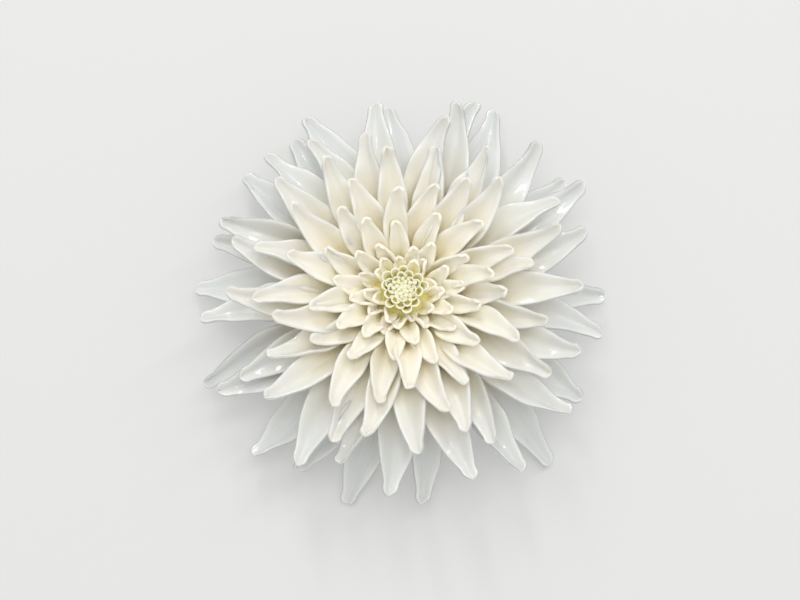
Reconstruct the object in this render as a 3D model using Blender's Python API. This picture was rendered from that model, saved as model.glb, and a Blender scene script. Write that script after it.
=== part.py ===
"""Chrysanthemum flower head, as picked: it lies face up on its cut stem, its lowest petals hang low.

Metres and degrees, +Z up through the heart of the bloom. The origin is on the surface, under the
middle of the bloom's outline. From the ground up: the stem, the involucre of green bracts, the ray
petals on their receptacle, and the heart of young florets.
"""
import math
import random
from dataclasses import dataclass

import bmesh
import bpy
from mathutils import Vector

# Overall sizes, with the small gap where one piece sits on another
BLOOM_RADIUS = 0.0636
STEM_LENGTH = 0.005
STEM_RADIUS = 0.0032
STEM_SIDES = 30
STEM_RIBS = 6
STEM_RIB_DEPTH = 0.05
INVOLUCRE_HEIGHT = 0.006
INVOLUCRE_FOOT_RADIUS = 0.0036
INVOLUCRE_RADIUS = 0.0128
INVOLUCRE_FLARE = 0.75
INVOLUCRE_SIDES = 18
INVOLUCRE_STEPS = 4
RECEPTACLE_RADIUS = 0.0145
RECEPTACLE_HEIGHT = 0.0165
RECEPTACLE_NARROWING = 0.58
RECEPTACLE_SIDES = 12
RECEPTACLE_STEPS = 3
SEAT_GAP = 0.0003
INVOLUCRE_BASE = STEM_LENGTH + SEAT_GAP
RECEPTACLE_BASE = INVOLUCRE_BASE + INVOLUCRE_HEIGHT + SEAT_GAP
HEART_BASE = RECEPTACLE_BASE + RECEPTACLE_HEIGHT + SEAT_GAP

# How any blade runs, in shares of its length and of its width
TIP_CURL_START = 0.78
WIDEST = 0.5
TAPER_END = 0.93
CLAW_END = 0.7
TIP_ROUNDING = 0.95
CUP_AT_ROOT = 1.3
CUP_LOSS = 0.75
CUP_AT_TIP = 0.5

# Ray petals. A pair gives the value of the lowest petal and that of the innermost one.
GOLDEN_ANGLE = math.pi * (3 - math.sqrt(5))
RAY_COUNT = 122
RAY_SEED = 425
RAY_PHASE = 123
RAY_RISE = (0.0015, RECEPTACLE_HEIGHT - 0.0006)
RAY_TIP_RADIUS = (BLOOM_RADIUS, 0.0095)
RAY_LAUNCH = (12, 78)
RAY_END = (-38, 52)
RAY_TIP_CURL = (36, 30)
RAY_CUP = (0.76, 1.0)
RAY_HALF_WIDTH = 0.0064
RAY_CLAW = (0.001, 0.0014)
RAY_CLAW_WIDENS_FROM = 0.6
RAY_THICKNESS = 0.0009
RAY_ROOT_DEPTH = 0.0035
TIP_CLEARANCE = 0.0018
RAY_WIDTH_POWER = 0.68
RAY_SCATTER = {
    "azimuth": 4,
    "launch": 3,
    "end": 5,
    "tip_curl": 16,
    "width": 0.12,
    "cup": 0.15,
    "roll": 14,
    "twist": 38,
    "bend": 0.14,
    "ogee": 0.25,
}
RAY_TIP_SCATTER = (-0.06, 0.02)
INNERMOST_STRAYS = 1.7
RAY_KEEL = (0.12, 0.45)
RAY_OGEE = (0.15, 0.85)
RAY_TIP_HALF_WIDTH = (0.0021, 0.001)
RAY_TIP_ROUND_FROM = 0.95
BROAD_STATIONS = (0.0, 0.34, 0.64, 0.86, 0.985)
SMALL_STATIONS = (0.0, 0.6, 0.97)
SMALL_FROM = 80

# How quickly a ray petal's numbers go from those of the lowest to those of the innermost one
RAY_TIP_POWERS = (1.9, 1.8)
RAY_LAUNCH_POWER = 0.85
RAY_END_POWER = 0.65

# Heart: closed buds in the middle, opening florets round them
HEART_SEED = 11
HEART_RADIUS = 0.0056
HEART_SIDES = 8
HEART_PROFILE = ((1.0, 0.0), (1.0, 0.0007), (0.8, 0.0018), (0.4, 0.0024))
BUD_COUNT = 34
BUD_RADIUS = 0.0006
BUD_SPREAD = 0.55
BUD_SINK = 0.0009
BUD_LENGTH = (0.0036, 0.0042)
BUD_LENGTH_SCATTER = 0.0003
BUD_LEAN = (0, 16)
BUD_PROFILE = ((0.0, 0.55), (0.72, 1.0), (1.0, 0.5))
FLORET_COUNT = 24
FLORET_SINK = 0.0004
FLORET_SPREAD = (0.62, 0.86)
FLORET_LAUNCH = (88, 74)
FLORET_BOW = (4, 20)
FLORET_TIP_CURL = (10, 50)
FLORET_LENGTH = (0.0046, 0.006)
FLORET_HALF_WIDTH = (0.0012, 0.0016)
FLORET_SCATTER = {"azimuth": 5, "launch": 3, "length": 0.0004, "width": 0.15}
FLORET_CLAW = 0.0006
FLORET_CUP = (1.3, 1.7)
FLORET_KEEL = 0.8
FLORET_HOOD = 1.0
FLORET_TAPER = 0.15
FLORET_TIP_ROUND_FROM = 0.55
FLORET_THICKNESS = 0.0007

# Involucre: three rows of bracts, from the stem outwards
BRACT_SEED = 5
BRACTS_IN_ROW = 8
BRACT_FOOT = (0.06, 0.26, 0.52)
BRACT_LAUNCH = (20, 30, 38)
BRACT_END = (16, 10, 4)
BRACT_LENGTH = (0.0066, 0.0078, 0.0084)
BRACT_HALF_WIDTH = (0.0021, 0.0027, 0.003)
BRACT_LENGTH_SCATTER = 0.0004
BRACT_AZIMUTH_SCATTER = 4
BRACT_TIP_CURL = (-14, 4)
BRACT_ROOT_DEPTH = 0.001
BRACT_CLAW = 0.0015
BRACT_CUP = 0.25
BRACT_KEEL = 0.8
BRACT_OGEE = 0.2
BRACT_TAPER = 0.74
BRACT_TIP_ROUND_FROM = 0.95
BRACT_THICKNESS = 0.0007

# Colour and roughness of each piece
STEM_LOOK = ((0.16, 0.22, 0.07), 0.55)
BRACT_LOOK = ((0.18, 0.25, 0.09), 0.55)
PETAL_LOOK = ((0.84, 0.81, 0.72), 0.25)
HEART_LOOK = ((0.74, 0.68, 0.38), 0.35)
SHARP_ANGLE = 40


def mix(a, b, share):
    return a + (b - a) * share


def smooth(x):
    x = min(max(x, 0.0), 1.0)
    return x * x * (3 - 2 * x)


def outwards(azimuth):
    """The level direction away from the axis."""
    return Vector((math.cos(azimuth), math.sin(azimuth), 0))


def sideways(azimuth):
    """The level direction round the axis."""
    return Vector((-math.sin(azimuth), math.cos(azimuth), 0))


def clear_scene():
    for obj in list(bpy.data.objects):
        bpy.data.objects.remove(obj)


def material(name, colour, roughness):
    made = bpy.data.materials.new(name)
    made.use_nodes = True
    shader = made.node_tree.nodes["Principled BSDF"]
    shader.inputs["Base Color"].default_value = (*colour, 1.0)
    shader.inputs["Roughness"].default_value = roughness
    shader.inputs["Metallic"].default_value = 0.0
    return made


def lofted(name, rings):
    """A closed solid through rings of as many points each, capped at both ends, all in triangles.

    The second half of a ring lies under the first, and is split along the same diagonals.
    """
    shape = bmesh.new()
    loops = [[shape.verts.new(point) for point in ring] for ring in rings]
    count = len(loops[0])
    for low, high in zip(loops, loops[1:]):
        for i in range(count):
            j = (i + 1) % count
            if i < count / 2:
                shape.faces.new((low[i], low[j], high[j]))
                shape.faces.new((low[i], high[j], high[i]))
            else:
                shape.faces.new((low[i], low[j], high[i]))
                shape.faces.new((low[j], high[j], high[i]))
    for loop in (loops[0][::-1], loops[-1]):
        for i in range(1, count - 1):
            shape.faces.new((loop[0], loop[i], loop[i + 1]))
    bmesh.ops.recalc_face_normals(shape, faces=shape.faces)
    if shape.calc_volume(signed=True) < 0:
        bmesh.ops.reverse_faces(shape, faces=shape.faces)
    mesh = bpy.data.meshes.new(name)
    shape.to_mesh(mesh)
    shape.free()
    obj = bpy.data.objects.new(name, mesh)
    bpy.context.scene.collection.objects.link(obj)
    return obj


def turned(name, profile, sides, ribs=0, rib_depth=0.0):
    """A solid of revolution from (radius, height) pairs, bottom to top, with shallow ribs down its side."""
    rings = []
    for radius, height in profile:
        ring = []
        for i in range(sides):
            angle = 2 * math.pi * i / sides
            reach = radius * (1 + rib_depth * math.cos(ribs * angle))
            ring.append(outwards(angle) * reach + Vector((0, 0, height)))
        rings.append(ring)
    return lofted(name, rings)


def keep_outer_skin(mesh):
    """Fills the hollows that fusing sealed, and drops loose scraps: only the largest connected skin stays."""
    shape = bmesh.new()
    shape.from_mesh(mesh)
    unseen = set(shape.verts)
    skins = []
    while unseen:
        skin = {unseen.pop()}
        rim = set(skin)
        while rim:
            vert = rim.pop()
            fresh = {edge.other_vert(vert) for edge in vert.link_edges} - skin
            skin |= fresh
            rim |= fresh
        unseen -= skin
        skins.append(skin)
    skins.sort(key=len)
    for skin in skins[:-1]:
        bmesh.ops.delete(shape, geom=list(skin), context="VERTS")
    shape.to_mesh(mesh)
    shape.free()


def fuse(core, repeats):
    """Joins the repeats to the core in one Boolean union, and removes them."""
    group = bpy.data.collections.new(core.name + "_repeats")
    bpy.context.scene.collection.children.link(group)
    for obj in repeats:
        bpy.context.scene.collection.objects.unlink(obj)
        group.objects.link(obj)
    union = core.modifiers.new("fuse", "BOOLEAN")
    union.operation = "UNION"
    union.operand_type = "COLLECTION"
    union.collection = group
    union.solver = "MANIFOLD"
    graph = bpy.context.evaluated_depsgraph_get()
    joined = bpy.data.meshes.new_from_object(core.evaluated_get(graph))
    core.modifiers.clear()
    for obj in repeats:
        bpy.data.objects.remove(obj)
    bpy.data.collections.remove(group)
    keep_outer_skin(joined)
    core.data = joined


def arc(start, turn, length):
    """How far out and up a line gets that starts at one elevation and turns at a steady rate."""
    end = start + turn * length
    out = (math.sin(end) - math.sin(start)) / turn
    up = (math.cos(start) - math.cos(end)) / turn
    return out, up


@dataclass
class Blade:
    """A petal, floret or bract, with its angles in radians.

    Its midrib bends in an upright plane through the bloom's axis, from the launch elevation to the end
    elevation, and then up again by the tip's curl. Across the midrib it is cupped, rolled and twisted. A
    hooded one keeps the curve of its trough where it narrows, so that its rim is round seen from above.
    """

    azimuth: float
    root_radius: float
    root_height: float
    launch: float
    end: float
    tip_curl: float
    length: float
    half_width: float
    claw: float
    cup: float
    keel: float
    taper: float
    round_from: float
    thickness: float
    ogee: float = 0.0
    hood: float = 0.0
    roll: float = 0.0
    twist: float = 0.0
    bend: float = 0.0

    def turn(self):
        return (self.end - self.launch) / TIP_CURL_START

    def tip_turn(self):
        return self.tip_curl / (1 - TIP_CURL_START)

    def reach(self, share):
        """How far out and up from its root the midrib is, at a share of its length."""
        out, up = arc(self.launch, self.turn(), min(share, TIP_CURL_START))
        if share > TIP_CURL_START:
            more_out, more_up = arc(self.end, self.tip_turn(), share - TIP_CURL_START)
            out += more_out
            up += more_up
        return out * self.length, up * self.length

    def elevation(self, share):
        past = max(share - TIP_CURL_START, 0.0)
        return self.launch + self.turn() * min(share, TIP_CURL_START) + self.tip_turn() * past

    def fit_length(self, tip_radius):
        """Sets the length that brings the tip out to a radius."""
        out, _ = self.reach(1.0)
        self.length *= (tip_radius - self.root_radius) / out

    def width_at(self, share):
        """Half the width: a narrow claw, widest near the middle, then a taper to a round tip."""
        claw = mix(self.claw / self.half_width, 1.0, smooth(share / CLAW_END))
        past = min(max(share - WIDEST, 0.0) / (TAPER_END - WIDEST), 1.0)
        taper = 1 - self.taper * mix(past**1.5, smooth(past), self.ogee)
        close = max(share - self.round_from, 0.0) / (1 - self.round_from)
        return self.half_width * claw * taper * math.sqrt(1 - TIP_ROUNDING * close**2)

    def point(self, share, across, side):
        """A point of the skin: across runs from -1 to 1, and side is 1 above and -1 below."""
        half = self.width_at(share)
        cup = self.cup * (CUP_AT_ROOT - CUP_LOSS * share + CUP_AT_TIP * share**4)
        cup *= mix(1.0, half / self.half_width, self.hood)
        slope = cup * across / math.hypot(across, self.keel)
        offset = side * self.thickness / 2 / math.hypot(1, slope)
        aside = half * across - slope * offset
        normal = cup * half * (math.hypot(across, self.keel) - self.keel) + offset
        roll = self.roll + self.twist * share**2
        shift = aside * math.cos(roll) - normal * math.sin(roll) + self.bend * self.length * share**3
        lift = aside * math.sin(roll) + normal * math.cos(roll)
        out, up = self.reach(share)
        lean = self.elevation(share)
        radial = self.root_radius + out - lift * math.sin(lean)
        height = self.root_height + up + lift * math.cos(lean)
        return outwards(self.azimuth) * radial + sideways(self.azimuth) * shift + Vector((0, 0, height))

    def solid(self, name, stations):
        corners = ((-1, 1), (0, 1), (1, 1), (1, -1), (0, -1), (-1, -1))
        rings = [[self.point(share, *corner) for corner in corners] for share in stations]
        return lofted(name, rings)


def receptacle_radius(rise):
    """Radius of the receptacle's dome at a height above its base."""
    return RECEPTACLE_RADIUS * (1 - RECEPTACLE_NARROWING * (rise / RECEPTACLE_HEIGHT) ** 2)


def ray_half_width(tip_radius):
    """Shorter petals are narrower, but less so than they are shorter."""
    return RAY_HALF_WIDTH * (tip_radius / BLOOM_RADIUS) ** RAY_WIDTH_POWER


def scatter(draw, most):
    """How far one petal strays from the rule, either way."""
    return draw.uniform(-most, most)


def ray(order, draw):
    """The ray petal at this place in the spiral: shorter, narrower and more upright towards the heart."""
    share = order / (RAY_COUNT - 1)
    rise = mix(*RAY_RISE, share)
    azimuth = math.radians(RAY_PHASE + scatter(draw, RAY_SCATTER["azimuth"])) + order * GOLDEN_ANGLE
    outermost, innermost = RAY_TIP_RADIUS
    inner_power, outer_power = RAY_TIP_POWERS
    tip_radius = mix(innermost, outermost, (1 - share**inner_power) ** outer_power)
    tip_radius *= 1 + draw.uniform(*RAY_TIP_SCATTER)
    strays = mix(1.0, INNERMOST_STRAYS, share)
    launch_stray = strays * scatter(draw, RAY_SCATTER["launch"])
    launch = math.radians(mix(*RAY_LAUNCH, share**RAY_LAUNCH_POWER) + launch_stray)
    end_stray = strays * scatter(draw, RAY_SCATTER["end"])
    end = math.radians(mix(*RAY_END, share**RAY_END_POWER) + end_stray)
    tip_curl = math.radians(mix(*RAY_TIP_CURL, share) + scatter(draw, RAY_SCATTER["tip_curl"]))
    half_width = ray_half_width(tip_radius) * (1 + scatter(draw, RAY_SCATTER["width"]))
    blade = Blade(
        azimuth=azimuth,
        root_radius=receptacle_radius(rise) - RAY_ROOT_DEPTH * math.cos(launch),
        root_height=RECEPTACLE_BASE + rise - RAY_ROOT_DEPTH * math.sin(launch),
        launch=launch,
        end=end,
        tip_curl=tip_curl,
        length=1.0,
        half_width=half_width,
        claw=mix(*RAY_CLAW, max(share - RAY_CLAW_WIDENS_FROM, 0.0) / (1 - RAY_CLAW_WIDENS_FROM)),
        cup=mix(*RAY_CUP, share) + scatter(draw, RAY_SCATTER["cup"]),
        keel=draw.uniform(*RAY_KEEL),
        ogee=mix(*RAY_OGEE, share) + scatter(draw, RAY_SCATTER["ogee"]),
        taper=1 - mix(*RAY_TIP_HALF_WIDTH, share) / half_width,
        round_from=RAY_TIP_ROUND_FROM,
        thickness=RAY_THICKNESS,
        roll=math.radians(strays * scatter(draw, RAY_SCATTER["roll"])),
        twist=math.radians(scatter(draw, RAY_SCATTER["twist"])),
        bend=scatter(draw, RAY_SCATTER["bend"]),
    )
    blade.fit_length(tip_radius)
    while blade.root_height + blade.reach(1.0)[1] < TIP_CLEARANCE:
        blade.end += math.radians(1)
        blade.fit_length(tip_radius)
    return blade


def ray_petals():
    rises = [RECEPTACLE_HEIGHT * i / RECEPTACLE_STEPS for i in range(RECEPTACLE_STEPS + 1)]
    profile = [(receptacle_radius(rise), RECEPTACLE_BASE + rise) for rise in rises]
    core = turned("ray_petals", profile, RECEPTACLE_SIDES)
    draw = random.Random(RAY_SEED)
    petals = []
    for order in range(RAY_COUNT):
        stations = BROAD_STATIONS if order < SMALL_FROM else SMALL_STATIONS
        petals.append(ray(order, draw).solid(f"ray_{order}", stations))
    fuse(core, petals)
    return core


def bud(name, order, draw):
    """A closed young floret in the middle of the heart: a short four-sided club that leans out a little."""
    share = (order + 0.5) / BUD_COUNT
    radius = BUD_SPREAD * HEART_RADIUS * math.sqrt(share)
    azimuth = order * GOLDEN_ANGLE
    lean = math.radians(mix(*BUD_LEAN, share))
    length = mix(*BUD_LENGTH, share) + scatter(draw, BUD_LENGTH_SCATTER)
    base = outwards(azimuth) * radius + Vector((0, 0, HEART_BASE + BUD_SINK))
    axis = outwards(azimuth) * math.sin(lean) + Vector((0, 0, math.cos(lean)))
    side = sideways(azimuth) * BUD_RADIUS
    front = side.cross(axis)
    rings = []
    for share_up, girth in BUD_PROFILE:
        centre = base + axis * length * share_up
        rings.append([centre + way * girth for way in (side, front, -side, -front)])
    return lofted(name, rings)


def floret(order, draw):
    """An opening floret round the buds: a small curled spoon."""
    share = (order + 0.5) / FLORET_COUNT
    launch = math.radians(mix(*FLORET_LAUNCH, share) + scatter(draw, FLORET_SCATTER["launch"]))
    return Blade(
        azimuth=(BUD_COUNT + order) * GOLDEN_ANGLE + math.radians(scatter(draw, FLORET_SCATTER["azimuth"])),
        root_radius=HEART_RADIUS * mix(*FLORET_SPREAD, share),
        root_height=HEART_BASE + FLORET_SINK,
        launch=launch,
        end=launch - math.radians(mix(*FLORET_BOW, share)),
        tip_curl=math.radians(draw.uniform(*FLORET_TIP_CURL)),
        length=mix(*FLORET_LENGTH, share) + scatter(draw, FLORET_SCATTER["length"]),
        half_width=mix(*FLORET_HALF_WIDTH, share) * (1 + scatter(draw, FLORET_SCATTER["width"])),
        claw=FLORET_CLAW,
        cup=draw.uniform(*FLORET_CUP),
        keel=FLORET_KEEL,
        taper=FLORET_TAPER,
        round_from=FLORET_TIP_ROUND_FROM,
        thickness=FLORET_THICKNESS,
        hood=FLORET_HOOD,
    )


def disc_florets():
    profile = [(HEART_RADIUS * share, HEART_BASE + rise) for share, rise in HEART_PROFILE]
    core = turned("disc_florets", profile, HEART_SIDES)
    draw = random.Random(HEART_SEED)
    repeats = [bud(f"bud_{order}", order, draw) for order in range(BUD_COUNT)]
    for order in range(FLORET_COUNT):
        repeats.append(floret(order, draw).solid(f"floret_{order}", SMALL_STATIONS))
    fuse(core, repeats)
    return core


def involucre_radius(share):
    """Radius of the green cup at a share of its height: it flares from the stem and then steepens."""
    return mix(INVOLUCRE_FOOT_RADIUS, INVOLUCRE_RADIUS, mix(share, math.sqrt(share), INVOLUCRE_FLARE))


def bract(row, place, draw):
    """A green bract: the rows overlap like tiles, each pressed up against the next."""
    foot = BRACT_FOOT[row]
    azimuth = 2 * math.pi * (place + row / len(BRACT_FOOT)) / BRACTS_IN_ROW
    azimuth += math.radians(scatter(draw, BRACT_AZIMUTH_SCATTER))
    return Blade(
        azimuth=azimuth,
        root_radius=involucre_radius(foot) - BRACT_ROOT_DEPTH,
        root_height=INVOLUCRE_BASE + foot * INVOLUCRE_HEIGHT,
        launch=math.radians(BRACT_LAUNCH[row]),
        end=math.radians(BRACT_END[row]),
        tip_curl=math.radians(draw.uniform(*BRACT_TIP_CURL)),
        length=BRACT_LENGTH[row] + scatter(draw, BRACT_LENGTH_SCATTER),
        half_width=BRACT_HALF_WIDTH[row],
        claw=BRACT_CLAW,
        cup=BRACT_CUP,
        keel=BRACT_KEEL,
        taper=BRACT_TAPER,
        round_from=BRACT_TIP_ROUND_FROM,
        thickness=BRACT_THICKNESS,
        ogee=BRACT_OGEE,
    )


def involucre():
    shares = [i / INVOLUCRE_STEPS for i in range(INVOLUCRE_STEPS + 1)]
    profile = [(involucre_radius(share), INVOLUCRE_BASE + INVOLUCRE_HEIGHT * share) for share in shares]
    core = turned("involucre", profile, INVOLUCRE_SIDES)
    draw = random.Random(BRACT_SEED)
    bracts = []
    for row in range(len(BRACT_FOOT)):
        for place in range(BRACTS_IN_ROW):
            bracts.append(bract(row, place, draw).solid(f"bract_{row}_{place}", SMALL_STATIONS))
    fuse(core, bracts)
    return core


def stem():
    """The cut stub of the stalk, ribbed like the rest of it."""
    profile = [(STEM_RADIUS, 0.0), (STEM_RADIUS, STEM_LENGTH)]
    return turned("stem", profile, STEM_SIDES, STEM_RIBS, STEM_RIB_DEPTH)


def centre_outline(pieces):
    """Slides the flower sideways so that the origin lies under the middle of its outline."""
    corners = [vert.co for obj in pieces for vert in obj.data.vertices]
    for axis in (0, 1):
        low = min(corner[axis] for corner in corners)
        high = max(corner[axis] for corner in corners)
        for obj in pieces:
            obj.location[axis] = -(low + high) / 2


clear_scene()
makers = (stem, involucre, ray_petals, disc_florets)
looks = (STEM_LOOK, BRACT_LOOK, PETAL_LOOK, HEART_LOOK)
flower = []
for make, look in zip(makers, looks):
    piece = make()
    piece.data.materials.append(material(piece.name, *look))
    piece.data.shade_smooth()
    piece.data.set_sharp_from_angle(angle=math.radians(SHARP_ANGLE))
    flower.append(piece)
centre_outline(flower)
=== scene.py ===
# %% [markdown]
# # A white chrysanthemum, face up
#
# This notebook dresses the plain solids of a chrysanthemum flower head with finely shaped petals and
# living colours. The solids stay where they are: every piece below is grown on the same axis, by the same
# rule and with the same random draws as the solid that it stands for, so that nothing has to be fitted by
# eye.

# %% Load the solids
import math
import random

import bmesh
import bpy
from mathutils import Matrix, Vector


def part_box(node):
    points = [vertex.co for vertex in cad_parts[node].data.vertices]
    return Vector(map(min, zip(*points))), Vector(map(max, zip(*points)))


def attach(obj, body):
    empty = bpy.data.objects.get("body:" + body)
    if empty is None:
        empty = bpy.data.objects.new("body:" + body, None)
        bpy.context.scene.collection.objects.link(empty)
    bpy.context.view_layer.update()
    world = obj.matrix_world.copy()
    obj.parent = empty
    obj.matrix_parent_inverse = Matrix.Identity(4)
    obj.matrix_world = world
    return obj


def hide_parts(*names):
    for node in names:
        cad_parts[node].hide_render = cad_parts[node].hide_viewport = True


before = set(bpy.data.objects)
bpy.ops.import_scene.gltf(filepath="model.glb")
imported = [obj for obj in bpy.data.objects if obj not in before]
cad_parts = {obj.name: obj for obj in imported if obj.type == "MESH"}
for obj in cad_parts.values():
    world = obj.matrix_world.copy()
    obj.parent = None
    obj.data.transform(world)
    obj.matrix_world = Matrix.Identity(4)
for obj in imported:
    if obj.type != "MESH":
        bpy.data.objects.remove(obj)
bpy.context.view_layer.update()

print("solids:", sorted(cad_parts))

# %% [markdown]
# ## Where everything sits
#
# The stub of the stem is round and upright, so the middle of its box is the axis of the whole flower. The
# cup of bracts, the receptacle and the heart are stacked on it, each with a hair's breadth between.

# %% The axis and the heights on it
low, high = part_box("stem")
AXIS = Vector(((low.x + high.x) / 2, (low.y + high.y) / 2, 0.0))
STEM_TOP = high.z
SEAT_GAP = 0.0003
CUP_BASE = STEM_TOP + SEAT_GAP
CUP_HEIGHT = 0.006
RECEPTACLE_BASE = CUP_BASE + CUP_HEIGHT + SEAT_GAP
RECEPTACLE_HEIGHT = 0.0165
HEART_BASE = RECEPTACLE_BASE + RECEPTACLE_HEIGHT + SEAT_GAP
print("axis", [round(value * 1000, 2) for value in AXIS], "mm, heart at", round(HEART_BASE * 1000, 1), "mm")

# %% [markdown]
# ## Sums on sockets
#
# Node trees are easier to read as sums than as boxes and noodles. `Signal` wraps a socket, so that `1 -
# mask * 0.4` adds its own Math nodes. Its method `add` makes any other kind of node, from the node's
# type, its settings and its sockets. Colours never go through sums, which would turn them grey: `blend`
# mixes them.


# %% A small vocabulary for node trees
class Signal:
    """A socket that takes part in Python sums: each sum adds its Math nodes to the socket's tree."""

    def __init__(self, socket):
        self.socket = socket
        self.tree = socket.id_data

    @staticmethod
    def add(tree, kind, settings=None, sockets=None, out=0):
        """Adds a node, sets its settings, then fills or links its sockets, and returns one of its outputs."""
        node = tree.nodes.new(kind)
        for key, value in (settings or {}).items():
            setattr(node, key, value)
        for key, value in (sockets or {}).items():
            if isinstance(value, Signal):
                tree.links.new(value.socket, node.inputs[key])
            else:
                node.inputs[key].default_value = value
        return Signal(node.outputs[out]) if node.outputs else None

    def math(self, operation, *others):
        terms = dict(enumerate((self, *others)))
        return Signal.add(self.tree, "ShaderNodeMath", {"operation": operation}, terms)

    def math_after(self, operation, first):
        """The same with this socket as the second term."""
        return Signal.add(self.tree, "ShaderNodeMath", {"operation": operation}, {0: first, 1: self})

    def __add__(self, other):
        return self.math("ADD", other)

    __radd__ = __add__

    def __mul__(self, other):
        return self.math("MULTIPLY", other)

    __rmul__ = __mul__

    def __sub__(self, other):
        return self.math("SUBTRACT", other)

    def __rsub__(self, other):
        return self.math_after("SUBTRACT", other)

    def __truediv__(self, other):
        return self.math("DIVIDE", other)

    def __rtruediv__(self, other):
        return self.math_after("DIVIDE", other)

    def __pow__(self, other):
        return self.math("POWER", other)

    def __rpow__(self, other):
        return self.math_after("POWER", other)

    def __abs__(self):
        return self.math("ABSOLUTE")

    def sqrt(self):
        return self.math("SQRT")

    def sin(self):
        return self.math("SINE")

    def cos(self):
        return self.math("COSINE")

    def at_least(self, least):
        return self.math("MAXIMUM", least)

    def at_most(self, most):
        return self.math("MINIMUM", most)

    def output(self, name):
        """Another output of the same node."""
        return Signal(self.socket.node.outputs[name])


def fade(signal, start, end, low=0.0, high=1.0):
    """A soft step from low to high as the signal goes from start to end."""
    sockets = {"Value": signal, "From Min": start, "From Max": end, "To Min": low, "To Max": high}
    return Signal.add(signal.tree, "ShaderNodeMapRange", {"interpolation_type": "SMOOTHSTEP"}, sockets)


def blend(factor, first, second):
    """Goes from the first colour to the second as the factor goes from 0 to 1."""
    sockets = {0: factor, 6: first, 7: second}
    return Signal.add(factor.tree, "ShaderNodeMix", {"data_type": "RGBA"}, sockets, out=2)


print("words for sums:", sum(callable(word) for word in vars(Signal).values()))

# %% [markdown]
# ## Finishes
#
# A petal is thin, smooth and full of water: it is glossy like glaze, lets light bleed through, and is
# never one flat white. It is cream near the heart, cool white at the rim of the bloom and olive in its
# throat. The colour therefore reads where a point is on its petal (`along`, `across`, `side`), how far in
# the petal grows (`rank`) and a lot of its own (`lot`), which the petals carry as attributes. A picture
# could give one petal its colour, but not 122 of them, each its own.


# %% Shader helpers
def attribute(tree, name):
    """A number that a piece's mesh carries at its points."""
    return Signal.add(tree, "ShaderNodeAttribute", {"attribute_name": name}, out="Fac")


def rgb(red, green, blue):
    return (red, green, blue, 1.0)


def surface(name, **constants):
    """A material with one Principled shader, with the sockets that are the same all over set on it."""
    made = bpy.data.materials.new(name)
    made.use_nodes = True
    shader = made.node_tree.nodes["Principled BSDF"]
    for socket, value in constants.items():
        shader.inputs[socket.replace("_", " ")].default_value = value
    return made, made.node_tree, shader


def feed(shader, **signals):
    """Links signals to the shader's sockets, for what changes over the surface."""
    for socket, signal in signals.items():
        signal.tree.links.new(signal.socket, shader.inputs[socket.replace("_", " ")])


def bumped(shader, height, distance):
    """Fine relief: too small for the mesh, but it breaks up the highlights."""
    relief = Signal.add(height.tree, "ShaderNodeBump", sockets={"Height": height, "Distance": distance})
    feed(shader, Normal=relief)


CELL_STRETCH = 0.14
LOT_SPREAD = 37.0


def noise(place, scale, detail):
    sockets = {"Vector": place, "Scale": scale, "Detail": detail}
    return Signal.add(place.tree, "ShaderNodeTexNoise", sockets=sockets)


def streaks(across, along, lot, fineness, detail=2.0):
    """Noise that is drawn out lengthwise, as the cells of a petal are, and other on each petal."""
    sockets = {0: across * fineness, 1: along * (fineness * CELL_STRETCH), 2: lot * LOT_SPREAD}
    place = Signal.add(across.tree, "ShaderNodeCombineXYZ", sockets=sockets)
    return noise(place, 1.0, detail)


def speckled(tree, scale, detail):
    """Even noise in the piece's own space."""
    return noise(Signal.add(tree, "ShaderNodeTexCoord", out="Object"), scale, detail)


def told(made):
    print("finish", made.name, "with", len(made.node_tree.nodes), "nodes")
    return made


# %% [markdown]
# ## The petals' colours
#
# From the root outwards a petal has a root, a throat, a middle tint and a limb. Root, throat and middle
# tint are partly the petal's own olive and cream and partly painted warm shade, which stands in for light
# that bounces between the petals and darkens their channels. Each of them goes from a cool colour on the
# lowest petals to a warm one on the innermost, and the middle tint also differs from petal to petal by
# its lot. The lip is the rounded rim seen from above, lightened by a painted highlight. The edge is the
# rim's outer side, greyed by painted shade on the lowest petals, which draws their outline.

# %% Mix the petals' colours
# Root, throat and middle tint: partly the petals' own olive and cream, partly painted warm shade of light
# bounced between the petals.
ROOT_COLOURS = rgb(0.80, 0.77, 0.60), rgb(0.86, 0.72, 0.16)
THROAT_COLOURS = rgb(0.82, 0.79, 0.64), rgb(1.0, 0.91, 0.60)
MID_TINT_AND_SHADE_COLOURS = rgb(0.93, 0.835, 0.635), rgb(0.92, 0.875, 0.715)
MID_TINT_AND_SHADE_OUTSIDE = rgb(0.76, 0.765, 0.735)
MID_TINT_INSIDE = rgb(1.0, 0.93, 0.77)
LIMB_COLOURS = rgb(0.745, 0.77, 0.765), rgb(0.905, 0.87, 0.775)
LIMB_INSIDE = rgb(1.0, 0.94, 0.80)
# Painted highlight along the petals' rounded rims.
RIM_HIGHLIGHT_COLOURS = rgb(0.88, 0.88, 0.85), rgb(1.0, 0.95, 0.80)
CELL_COLOUR = rgb(0.88, 0.88, 0.865)
# Painted shade on the outer side of the rims.
EDGE_SHADE_COLOUR = rgb(0.40, 0.43, 0.43)


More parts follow.
